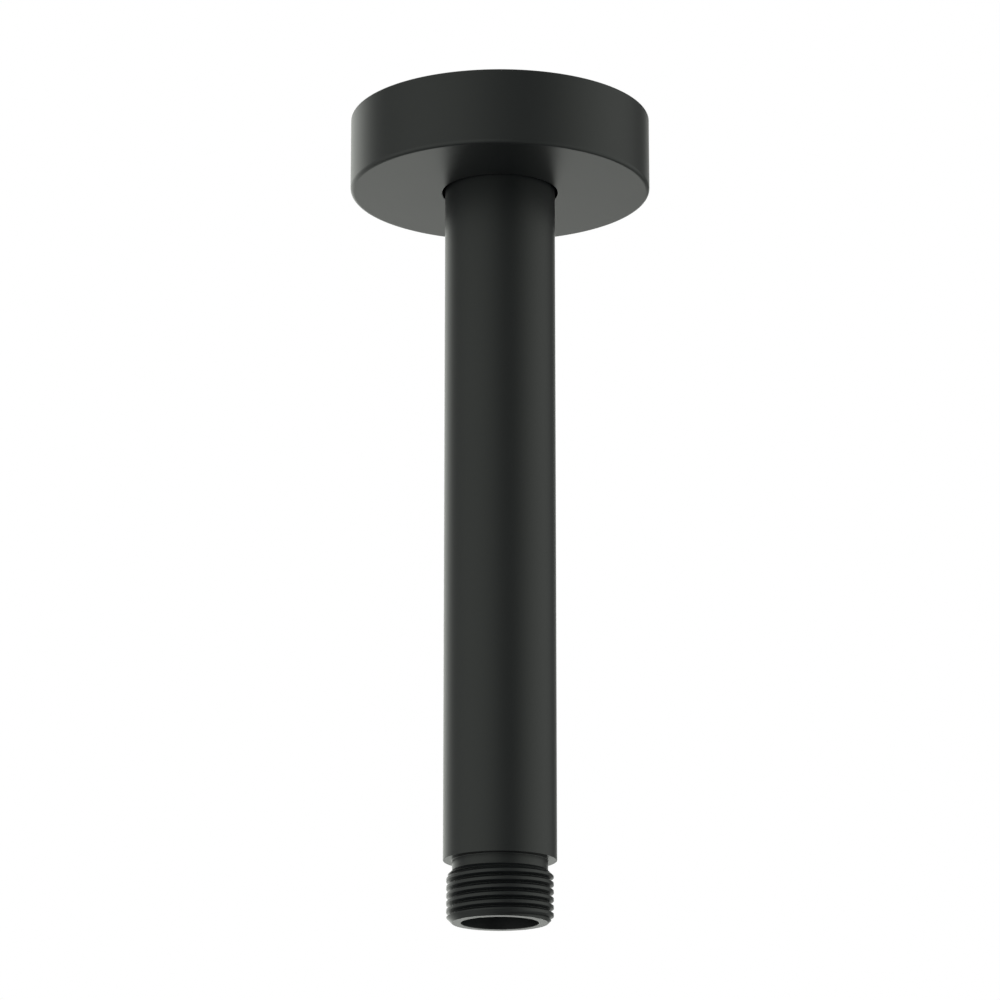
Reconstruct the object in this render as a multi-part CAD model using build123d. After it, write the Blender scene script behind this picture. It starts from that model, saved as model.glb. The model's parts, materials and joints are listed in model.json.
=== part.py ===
from build123d import *
import os

# Straight shower arm that hangs from a ceiling, in millimetres.
# The arm's axis is Z with +Z up, and z = 0 is the ceiling plane that the cover flange's rim meets.

# Arm, turned from one bar
tube_diameter = 22.0
tube_length = 144.1  # from shoulder to shoulder
water_bore = 15.0
thread_diameter = 20.67  # crests of a G 1/2 pipe thread, at the small end of its tolerance
neck_diameter = 18.5  # relief, just under the thread's roots
neck_length = 2.0
stub_length = 12.1  # neck and thread together, beyond a shoulder
thread_end_chamfer = 1.05
tube_edge_round = 0.1
bore_edge_break = 0.1

# Cover flange, a shallow cup that is open towards the ceiling
flange_diameter = 60.0
flange_height = 15.1
skirt_wall = 2.5
floor_thickness = 2.5
hub_wall = 2.4  # outside the ring's groove
groove_height = 3.8  # lower wall of the groove above the flange's underside
hub_lip = 1.5  # hub above the groove
flange_edge_round = 1.0  # lower outer edge, the one that shows
inside_bevel = 1.0  # corners of the floor inside the cup
flange_edge_break = 0.1  # rim, hub and hole edges

# Rubber ring that grips the tube and carries the flange
ring_section = 2.0  # square, cut on a lathe
ring_edge_break = 0.2

# Fits between the pieces
hole_clearance = 0.6  # flange hole around the tube
ring_tube_clearance = 0.05
ring_groove_clearance = 0.05
ring_side_clearance = 0.1
hub_headroom = 1.0  # upper shoulder above the hub, so that a pipe fitting clears the flange

# Radii
tube_radius = tube_diameter / 2
bore_radius = water_bore / 2
thread_radius = thread_diameter / 2
neck_radius = neck_diameter / 2
end_face_radius = thread_radius - thread_end_chamfer
flange_radius = flange_diameter / 2
cavity_radius = flange_radius - skirt_wall
hole_radius = tube_radius + hole_clearance
ring_inner_radius = tube_radius + ring_tube_clearance
ring_centre_radius = ring_inner_radius + ring_section / 2
groove_radius = ring_inner_radius + ring_section + ring_groove_clearance
hub_radius = groove_radius + hub_wall

# Heights
underside = -flange_height
floor_top = underside + floor_thickness
groove_low = underside + groove_height
groove_high = groove_low + ring_section + 2 * ring_side_clearance
ring_height = (groove_low + groove_high) / 2
hub_top = groove_high + hub_lip
upper_shoulder = hub_top + hub_headroom
lower_shoulder = upper_shoulder - tube_length
upper_end = upper_shoulder + stub_length
lower_end = lower_shoulder - stub_length


def half_section(outline):
    """Flat face inside an outline of (radius, height) points."""
    return make_face(Polyline(*outline, close=True))


def corners(section, *places):
    """The section's own corner at each (radius, height) place."""
    return [section.vertices().sort_by_distance((*place, 0))[0] for place in places]


def turned(section):
    """Solid of revolution of a half section about the arm's axis."""
    return revolve(Plane.XZ * section, Axis.Z)


def threaded_end(shoulder, way):
    """Outline from a shoulder outwards: relief neck, 45 degree lead-in, thread crests and end chamfer.

    way is 1 for the end that points up and -1 for the end that points down.
    """
    lead_in = thread_radius - neck_radius
    return [
        (neck_radius, shoulder),
        (neck_radius, shoulder + way * neck_length),
        (thread_radius, shoulder + way * (neck_length + lead_in)),
        (thread_radius, shoulder + way * (stub_length - thread_end_chamfer)),
        (end_face_radius, shoulder + way * stub_length),
    ]


def arm():
    """Tube with a shoulder and a threaded end at both ends, and the water bore right through it."""
    bore_mouths = [(bore_radius, lower_end), (bore_radius, upper_end)]
    tube_edges = [(tube_radius, lower_shoulder), (tube_radius, upper_shoulder)]
    lower = threaded_end(lower_shoulder, -1)
    upper = threaded_end(upper_shoulder, 1)
    section = half_section([bore_mouths[0], *reversed(lower), *tube_edges, *upper, bore_mouths[1]])
    section = fillet(corners(section, *tube_edges), tube_edge_round)
    section = chamfer(corners(section, *bore_mouths), bore_edge_break)
    return turned(section)


def cover_flange():
    """Skirt and floor around a hub, whose hole has a groove for the ring."""
    lower_edge = (flange_radius, underside)
    floor_corners = [(cavity_radius, floor_top), (hub_radius, floor_top)]
    rim_edges = [(flange_radius, 0), (cavity_radius, 0)]
    hub_edges = [(hub_radius, hub_top), (hole_radius, hub_top)]
    hole_edge = (hole_radius, underside)
    groove = [
        (hole_radius, groove_high),
        (groove_radius, groove_high),
        (groove_radius, groove_low),
        (hole_radius, groove_low),
    ]
    section = half_section([hole_edge, lower_edge, *rim_edges, *floor_corners, *hub_edges, *groove])
    section = fillet(corners(section, lower_edge), flange_edge_round)
    section = chamfer(corners(section, *floor_corners), inside_bevel)
    section = chamfer(corners(section, *rim_edges, *hub_edges, hole_edge), flange_edge_break)
    return turned(section)


def flange_ring():
    """Square ring with broken edges, in the middle of the hub's groove."""
    section = Pos(ring_centre_radius, ring_height) * Rectangle(ring_section, ring_section)
    return turned(chamfer(section.vertices(), ring_edge_break))


os.makedirs("parts", exist_ok=True)
export_step(arm(), "parts/arm.step")
export_step(cover_flange(), "parts/cover_flange.step")
export_step(flange_ring(), "parts/flange_ring.step")
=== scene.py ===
import json
import math

import bpy
import numpy as np
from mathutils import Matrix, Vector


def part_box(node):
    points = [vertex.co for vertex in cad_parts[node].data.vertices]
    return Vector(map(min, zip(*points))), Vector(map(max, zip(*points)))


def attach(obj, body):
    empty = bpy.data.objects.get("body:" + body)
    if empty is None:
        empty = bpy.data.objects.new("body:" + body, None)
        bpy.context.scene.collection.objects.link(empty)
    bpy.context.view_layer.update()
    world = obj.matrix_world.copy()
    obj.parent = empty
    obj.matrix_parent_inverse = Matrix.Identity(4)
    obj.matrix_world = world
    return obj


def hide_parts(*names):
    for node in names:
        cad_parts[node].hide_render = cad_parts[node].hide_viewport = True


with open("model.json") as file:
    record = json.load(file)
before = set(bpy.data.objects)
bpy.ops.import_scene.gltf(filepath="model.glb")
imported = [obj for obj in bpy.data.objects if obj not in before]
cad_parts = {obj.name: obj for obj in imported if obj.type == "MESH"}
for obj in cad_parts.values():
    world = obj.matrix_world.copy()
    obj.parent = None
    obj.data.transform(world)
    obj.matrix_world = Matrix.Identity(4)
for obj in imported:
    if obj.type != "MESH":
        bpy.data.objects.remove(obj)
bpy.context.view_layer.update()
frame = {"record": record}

# Satin black shower arm that hangs from a ceiling, in metres.
# The arm's axis is Z with +Z up, and z = 0 is the ceiling plane.
# The camera stands at -Y, below the flange.

MM = 0.001
mounts = {mount["name"]: mount for mount in frame["record"]["mounts"]}
arm_low, arm_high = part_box("arm")
flange_low, flange_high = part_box("cover_flange")
ring_low, ring_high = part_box("flange_ring")

# Arm
tube_radius = arm_high.x
thread_radius = mounts["head_thread"]["dims"]["r_mm"] * MM
bore_radius = mounts["water_bore"]["dims"]["r_mm"] * MM
neck_radius = 9.25 * MM
neck_length = 2.0 * MM
stub_length = 12.1 * MM  # neck and thread together, beyond a shoulder
thread_end_chamfer = 1.05 * MM
lower_end, upper_end = arm_low.z, arm_high.z
lower_shoulder = lower_end + stub_length
upper_shoulder = upper_end - stub_length
end_face_radius = thread_radius - thread_end_chamfer
tube_edge_round = 0.1 * MM
bore_edge_round = 0.1 * MM
neck_corner_round = 0.15 * MM
turned_edge_round = 0.06 * MM  # the thread's other edges, softened by the coat

# Thread, as the photo spaces it
thread_pitch = 1.5 * MM
groove_width = 0.95 * MM  # at the crests
groove_depth = 0.85 * MM
groove_softness = 0.04 * MM  # coat in the groove's corners
first_groove = 2.74 * MM  # below the lower shoulder, on the arm's front
arm_front = -0.25  # the side that faces the camera, as a part of a turn

# Cover flange
flange_radius = flange_high.x
flange_rim = flange_high.z
flange_underside = flange_low.z
flange_edge_round = 0.75 * MM  # as in the photo, a little sharper than the solid's
flange_edge_break = 0.1 * MM
skirt_wall = 2.5 * MM
floor_thickness = 2.5 * MM
inside_corner_round = 1.0 * MM
hub_wall = 2.4 * MM
hub_lip = 1.5 * MM
hole_clearance = 0.6 * MM
groove_clearance = 0.05 * MM
groove_side_clearance = 0.1 * MM
cavity_radius = flange_radius - skirt_wall
hole_radius = tube_radius + hole_clearance
groove_radius = ring_high.x + groove_clearance
groove_low = ring_low.z - groove_side_clearance
groove_high = ring_high.z + groove_side_clearance
hub_radius = groove_radius + hub_wall
hub_top = groove_high + hub_lip
floor_top = flange_underside + floor_thickness

# Rubber ring
ring_edge_round = 0.2 * MM
ring_tube_gap = 0.005 * MM  # too narrow for light to show through it

# Grids
arm_columns = 120  # of the ring too, so that the two skins don't cross
flange_columns = 320
arc_steps = 7  # points on each rounded edge
holding_gap = 0.03 * MM  # row beside each rounded edge, which keeps the flat next to it flat
rows_per_pitch = 46
thread_row = thread_pitch / rows_per_pitch

# Black coat, with noise scales in waves per metre
coat_dark = (0.0088, 0.0100, 0.0113, 1)
coat_pale = (0.0105, 0.0119, 0.0134, 1)
coat_roughness = 0.385
coat_roughness_spread = 0.02
coat_ior = 1.45
coat_gloss_tint = (0.978, 1.0, 0.955, 1)
cloud_scale = 60.0
cloud_detail = 3.0
peel_scale = 1100.0
peel_detail = 2.0
peel_crispness = 0.5
peel_strength = 0.04
peel_depth = 0.02 * MM

# Ring's rubber
rubber_dark = (0.008, 0.008, 0.008, 1)
rubber_pale = (0.014, 0.014, 0.014, 1)
rubber_roughness = 0.6
rubber_roughness_spread = 0.15
grain_scale = 2500.0
grain_detail = 4.0
grain_strength = 0.2
grain_depth = 0.02 * MM

# Studio floor, which is painted near the arm and fades to plain white away from it
floor_height = -0.7
floor_half_width = 30.0
fade_start, fade_end = 1.2, 3.6  # distances from the arm's place in the ceiling
white_near, white_far = 0.7, 1.0  # share of plain white that the camera sees
floor_paint = (0.85, 0.85, 0.85, 1)
plain_white = (1, 1, 1, 1)

# Soft lights of the studio, each as (bearing, rise, half width, level), with angles in degrees.
# Bearing 0 is the camera's side and 90 is its right.
soft_lights = {
    "wall behind": (-162, 14, 54, 1.78),
    "bright strip behind": (-170, 0, 22, 0.80),
    "panel on the left": (-53, -15, 78, 1.13),
    "fill above on the right": (59, 56, 78, 0.43),
    "pale floor behind": (-158, -49, 68, 0.17),
    "panel on the right": (86, -18, 66, 1.13),
    "overhead": (0, 90, 50, 0.50),
}
room_tint = (0.97, 1.0, 0.95, 1)

# Camera, as fitted to the photo's edges
camera_distance = 789.4 * MM  # in front of the arm's axis
camera_drop = 291.7 * MM  # below the ceiling plane
camera_tilt = 15.09  # upwards, in degrees
camera_lens = 149.57  # in millimetres, as the sensor's width is
camera_sensor = 36.0
nearest_seen = 10 * MM


def rounded_outline(corners):
    """Closed outline of (radius, height) points from (radius, height, round) corners.

    Each corner becomes an arc that touches both of its sides. It starts and ends at
    round / tan(half the corner's angle) from the corner, and its points turn evenly from the first
    touching direction to the second. A holding point stands on each side, one gap beyond the arc.
    """
    table = np.array(corners)
    place, radius = table[:, :2], table[:, 2:]
    back = np.roll(place, 1, axis=0) - place
    ahead = np.roll(place, -1, axis=0) - place
    back /= np.linalg.norm(back, axis=1, keepdims=True)
    ahead /= np.linalg.norm(ahead, axis=1, keepdims=True)
    half_angle = np.arccos(np.sum(back * ahead, axis=1, keepdims=True)) / 2
    reach = radius / np.tan(half_angle)
    middle = back + ahead
    middle /= np.linalg.norm(middle, axis=1, keepdims=True)
    centre = place + middle * radius / np.sin(half_angle)
    first = place + back * reach - centre
    last = place + ahead * reach - centre
    sweep = math.pi - 2 * half_angle[:, :, None]
    step = np.linspace(0, 1, arc_steps)[None, :, None]
    arc = first[:, None] * np.sin((1 - step) * sweep) + last[:, None] * np.sin(step * sweep)
    arc = centre[:, None] + arc / np.sin(sweep)
    before = place + back * (reach + holding_gap)
    after = place + ahead * (reach + holding_gap)
    return np.concatenate([before[:, None], arc, after[:, None]], axis=1).reshape(-1, 2)


def with_rows(outline, spacing, low, high, inner_radius):
    """Outline with more points, about spacing apart, between two heights and outside an inner radius.

    The outline is read as a line of known length, and points at even lengths are added to its own
    points, apart from those that would crowd one of them.
    """
    closed = np.vstack([outline, outline[:1]])
    length = np.concatenate([[0], np.cumsum(np.linalg.norm(np.diff(closed, axis=0), axis=1))])
    even = np.arange(0, length[-1], spacing)
    radius, height = [np.interp(even, length, closed[:, i]) for i in range(2)]
    added = even[(height > low) & (height < high) & (radius > inner_radius)]
    nearest = np.abs(added[:, None] - length[None, :]).min(axis=1)
    crowded = spacing / 3
    along = np.sort(np.concatenate([length[:-1], added[nearest > crowded]]))
    return np.column_stack([np.interp(along, length, closed[:, i]) for i in range(2)])


def column_angles(columns):
    """Angle of each column of a grid: column j lies at the angle 2 pi j / columns."""
    return np.arange(columns) * (2 * math.pi / columns)


def all_round(outline, columns):
    """Grids of radii and heights that repeat an outline in every column."""
    return np.repeat(outline.T[:, :, None], columns, axis=2)


def turned_piece(name, radius, height):
    """Mesh object from a grid of radii and heights, one row per outline point and one column per angle.

    x is radius times the angle's cosine and y is radius times its sine. Rows and columns both run on
    from the last to the first, so the skin is closed.
    """
    rows, columns = radius.shape
    angle = column_angles(columns)
    points = np.stack([radius * np.cos(angle), radius * np.sin(angle), height], axis=2)
    row, column = np.meshgrid(np.arange(rows), np.arange(columns), indexing="ij")
    next_row, next_column = (row + 1) % rows, (column + 1) % columns
    quads = np.stack(
        [
            row * columns + column,
            row * columns + next_column,
            next_row * columns + next_column,
            next_row * columns + column,
        ],
        axis=2,
    ).reshape(-1, 4)
    mesh = bpy.data.meshes.new(name)
    mesh.vertices.add(rows * columns)
    mesh.vertices.foreach_set("co", points.astype(np.float32).ravel())
    mesh.loops.add(quads.size)
    mesh.loops.foreach_set("vertex_index", quads.astype(np.int32).ravel())
    mesh.polygons.add(len(quads))
    mesh.polygons.foreach_set("loop_start", np.arange(0, quads.size, 4, dtype=np.int32))
    mesh.update(calc_edges=True)
    mesh.shade_smooth()
    piece = bpy.data.objects.new(name, mesh)
    bpy.context.scene.collection.objects.link(piece)
    return piece


def thread_skin(angle, height):
    """Radius of the cut thread: the crest radius, less a V groove that winds up to the right.

    A groove's middle is where (height - first groove) / pitch - angle / one turn is a whole number.
    Its depth falls evenly from the middle to the groove's edge, with both corners eased by a square root.
    """
    rise = (height - (lower_shoulder - first_groove)) / thread_pitch
    turn = rise - (angle / (2 * math.pi) - arm_front)
    offset = np.abs(turn - np.round(turn)) * thread_pitch
    eased = np.sqrt(offset**2 + groove_softness**2)
    cut = 1 - eased / (groove_width / 2)
    edge = groove_softness / groove_width
    return thread_radius - groove_depth * (cut + np.sqrt(cut**2 + edge**2)) / 2


def threaded_end(shoulder, way):
    """Corners from the tube's edge at a shoulder outwards to the bore's mouth.

    way is 1 for the end that points up and -1 for the end that points down. The lead-in rises at 45 degrees
    from the relief neck to the thread's crests.
    """
    lead_in = thread_radius - neck_radius
    return [
        (tube_radius, shoulder, tube_edge_round),
        (neck_radius, shoulder, neck_corner_round),
        (neck_radius, shoulder + way * neck_length, neck_corner_round),
        (thread_radius, shoulder + way * (neck_length + lead_in), turned_edge_round),
        (thread_radius, shoulder + way * (stub_length - thread_end_chamfer), turned_edge_round),
        (end_face_radius, shoulder + way * stub_length, turned_edge_round),
        (bore_radius, shoulder + way * stub_length, bore_edge_round),
    ]


def arm():
    """Turned arm: tube, shoulders, relief necks, a thread at each end and the bore, as one closed skin.

    Between the shoulders the radius is the outline's. Beyond them it is the smaller of the outline's
    radius and the thread's, so that the grooves run out through the lead-in and the end chamfer.
    """
    lower = threaded_end(lower_shoulder, -1)
    upper = threaded_end(upper_shoulder, 1)
    outline = rounded_outline([*reversed(lower), *upper])
    outline = with_rows(outline, thread_row, lower_end, lower_shoulder - neck_length, neck_radius)
    outline = with_rows(outline, thread_row, upper_shoulder + neck_length, upper_end, neck_radius)
    radius, height = all_round(outline, arm_columns)
    beyond = (height < lower_shoulder) | (height > upper_shoulder)
    cut_thread = thread_skin(column_angles(arm_columns), height)
    radius = np.where(beyond, np.minimum(radius, cut_thread), radius)
    return turned_piece("coated_arm", radius, height)


def cover_flange():
    """Turned cup: skirt, floor and grooved hub, the same outline at every angle."""
    edge = flange_edge_break
    outline = rounded_outline(
        [
            (hole_radius, flange_underside, edge),
            (flange_radius, flange_underside, flange_edge_round),
            (flange_radius, flange_rim, edge),
            (cavity_radius, flange_rim, edge),
            (cavity_radius, floor_top, inside_corner_round),
            (hub_radius, floor_top, inside_corner_round),
            (hub_radius, hub_top, edge),
            (hole_radius, hub_top, edge),
            (hole_radius, groove_high, edge),
            (groove_radius, groove_high, edge),
            (groove_radius, groove_low, edge),
            (hole_radius, groove_low, edge),
        ]
    )
    return turned_piece("coated_flange", *all_round(outline, flange_columns))


def rubber_ring():
    """Turned ring of square section with rounded edges, which just meets the tube that it grips."""
    inner_radius = tube_radius + ring_tube_gap
    outline = rounded_outline(
        [
            (inner_radius, ring_low.z, ring_edge_round),
            (ring_high.x, ring_low.z, ring_edge_round),
            (ring_high.x, ring_high.z, ring_edge_round),
            (inner_radius, ring_high.z, ring_edge_round),
        ]
    )
    return turned_piece("rubber_ring", *all_round(outline, arm_columns))


class Value:
    """An output socket that takes part in Python sums: each operator adds a Math node."""

    def __init__(self, nodes, socket):
        self.nodes = nodes
        self.socket = socket

    def sum_with(self, operation, first, second):
        return self.nodes.add("Math", {"operation": operation}, {0: first, 1: second})

    def __add__(self, other):
        return self.sum_with("ADD", self, other)

    def __radd__(self, other):
        return self.sum_with("ADD", other, self)

    def __mul__(self, other):
        return self.sum_with("MULTIPLY", self, other)

    def __rmul__(self, other):
        return self.sum_with("MULTIPLY", other, self)


class Nodes:
    """The node tree of a material or of the world, emptied and filled again."""

    def __init__(self, owner):
        owner.use_nodes = True
        self.tree = owner.node_tree
        self.tree.nodes.clear()

    def add(self, kind, settings=(), sockets=(), output=0):
        """Adds a node and returns one of its outputs.

        The node gets its settings first, and then its sockets' values or links.
        """
        node = self.tree.nodes.new("ShaderNode" + kind)
        for name, value in dict(settings).items():
            setattr(node, name, value)
        for name, value in dict(sockets).items():
            if isinstance(value, Value):
                self.tree.links.new(value.socket, node.inputs[name])
            else:
                node.inputs[name].default_value = value
        return Value(self, node.outputs[output]) if len(node.outputs) else None


def black_coat():
    """Satin black powder coat: a near-black ground under a satin gloss.

    Fine noise gives it its orange peel, and wide noise a faint clouding of its colour and roughness.
    """
    material = bpy.data.materials.new("black_coat")
    nodes = Nodes(material)
    place = nodes.add("TexCoord", output="Object")
    peel = nodes.add(
        "TexNoise",
        sockets={"Vector": place, "Scale": peel_scale, "Detail": peel_detail, "Roughness": peel_crispness},
        output="Fac",
    )
    cloud = nodes.add(
        "TexNoise",
        sockets={"Vector": place, "Scale": cloud_scale, "Detail": cloud_detail},
        output="Fac",
    )
    colour = nodes.add(
        "Mix",
        {"data_type": "RGBA"},
        {"Factor": cloud, "A": coat_dark, "B": coat_pale},
        output="Result",
    )
    bump = nodes.add("Bump", sockets={"Height": peel, "Strength": peel_strength, "Distance": peel_depth})
    coat = nodes.add(
        "BsdfPrincipled",
        sockets={
            "Base Color": colour,
            "Roughness": coat_roughness + coat_roughness_spread * cloud,
            "IOR": coat_ior,
            "Specular Tint": coat_gloss_tint,
            "Normal": bump,
        },
    )
    nodes.add("OutputMaterial", sockets={"Surface": coat})
    return material


def ring_rubber():
    """Black rubber with a dull skin and fine moulding grain."""
    material = bpy.data.materials.new("ring_rubber")
    nodes = Nodes(material)
    place = nodes.add("TexCoord", output="Object")
    grain = nodes.add(
        "TexNoise",
        sockets={"Vector": place, "Scale": grain_scale, "Detail": grain_detail},
        output="Fac",
    )
    colour = nodes.add(
        "Mix",
        {"data_type": "RGBA"},
        {"Factor": grain, "A": rubber_dark, "B": rubber_pale},
        output="Result",
    )
    bump = nodes.add("Bump", sockets={"Height": grain, "Strength": grain_strength, "Distance": grain_depth})
    skin = nodes.add(
        "BsdfPrincipled",
        sockets={
            "Base Color": colour,
            "Roughness": rubber_roughness + rubber_roughness_spread * grain,
            "Normal": bump,
        },
    )
    nodes.add("OutputMaterial", sockets={"Surface": skin})
    return material


def seen_as_background(nodes):
    """1 for a ray from the camera or through a clear surface, and 0 for any other.

    Reflections are left out, because a coat that mirrors plain white all round turns an even grey.
    """
    camera, clear = [nodes.add("LightPath", output=f"Is {kind} Ray") for kind in ("Camera", "Transmission")]
    return nodes.add("Math", {"operation": "MAXIMUM"}, {0: camera, 1: clear})


def studio_floor():
    """Wide pale floor below the camera, left to the soft lights in reflections."""
    mesh = bpy.data.meshes.new("floor")
    corner = np.array([(-1, -1), (1, -1), (1, 1), (-1, 1)]) * floor_half_width
    mesh.from_pydata([(x, y, floor_height) for x, y in corner], [], [(0, 1, 2, 3)])
    floor = bpy.data.objects.new("floor", mesh)
    floor.visible_glossy = False
    bpy.context.scene.collection.objects.link(floor)
    material = bpy.data.materials.new("floor")
    nodes = Nodes(material)
    place = nodes.add("TexCoord", output="Object")
    distance = nodes.add("VectorMath", {"operation": "LENGTH"}, {0: place}, output="Value")
    share = nodes.add(
        "MapRange",
        {"interpolation_type": "SMOOTHSTEP"},
        {
            "Value": distance,
            "From Min": fade_start,
            "From Max": fade_end,
            "To Min": white_near,
            "To Max": white_far,
        },
    )
    paint = nodes.add("BsdfDiffuse", sockets={"Color": floor_paint})
    glow = nodes.add("Emission", sockets={"Color": plain_white, "Strength": 1.0})
    surface = nodes.add("MixShader", sockets={0: share * seen_as_background(nodes), 1: paint, 2: glow})
    nodes.add("OutputMaterial", sockets={"Surface": surface})
    mesh.materials.append(material)


def studio_light():
    """White studio: plain white as the background, and for all other rays a dark room with soft lights.

    A soft light is brightest along its axis and fades smoothly to nothing at its half width from there.
    """

    def soft_light(bearing, rise, half_width, level):
        across, lift = math.radians(bearing), math.radians(rise)
        axis = (math.sin(across) * math.cos(lift), -math.cos(across) * math.cos(lift), math.sin(lift))
        facing = nodes.add(
            "VectorMath",
            {"operation": "DOT_PRODUCT"},
            {0: direction, 1: axis},
            output="Value",
        )
        edge = math.cos(math.radians(half_width))
        return nodes.add(
            "MapRange",
            {"interpolation_type": "SMOOTHSTEP"},
            {"Value": facing, "From Min": edge, "From Max": 1.0, "To Min": 0.0, "To Max": level},
        )

    world = bpy.data.worlds.new("studio")
    bpy.context.scene.world = world
    nodes = Nodes(world)
    direction = nodes.add("TexCoord", output="Generated")
    level = sum(soft_light(*light) for light in soft_lights.values())
    room = nodes.add("Background", sockets={"Color": room_tint, "Strength": level})
    white = nodes.add("Background", sockets={"Color": plain_white, "Strength": 1.0})
    light = nodes.add("MixShader", sockets={0: seen_as_background(nodes), 1: room, 2: white})
    nodes.add("OutputWorld", sockets={"Surface": light})


def studio_camera():
    """Camera in front of the arm and below the flange, tilted up."""
    camera = bpy.data.cameras.new("camera")
    camera.sensor_width = camera_sensor
    camera.lens = camera_lens
    camera.clip_start = nearest_seen
    holder = bpy.data.objects.new("camera", camera)
    holder.location = (0, -camera_distance, -camera_drop)
    holder.rotation_euler = (math.radians(90 + camera_tilt), 0, 0)
    bpy.context.scene.collection.objects.link(holder)
    bpy.context.scene.camera = holder


finishes = {"black_coat": black_coat(), "ring_rubber": ring_rubber()}
pieces = [
    (arm(), "arm", "arm", "black_coat"),
    (cover_flange(), "flange", "cover_flange", "black_coat"),
    (rubber_ring(), "grip_ring", "flange_ring", "ring_rubber"),
]
for piece, body, node, slot in pieces:
    piece.data.materials.append(finishes[slot])
    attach(piece, body)
    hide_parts(node)

studio_floor()
studio_light()
studio_camera()
bpy.context.scene.view_settings.view_transform = "Standard"
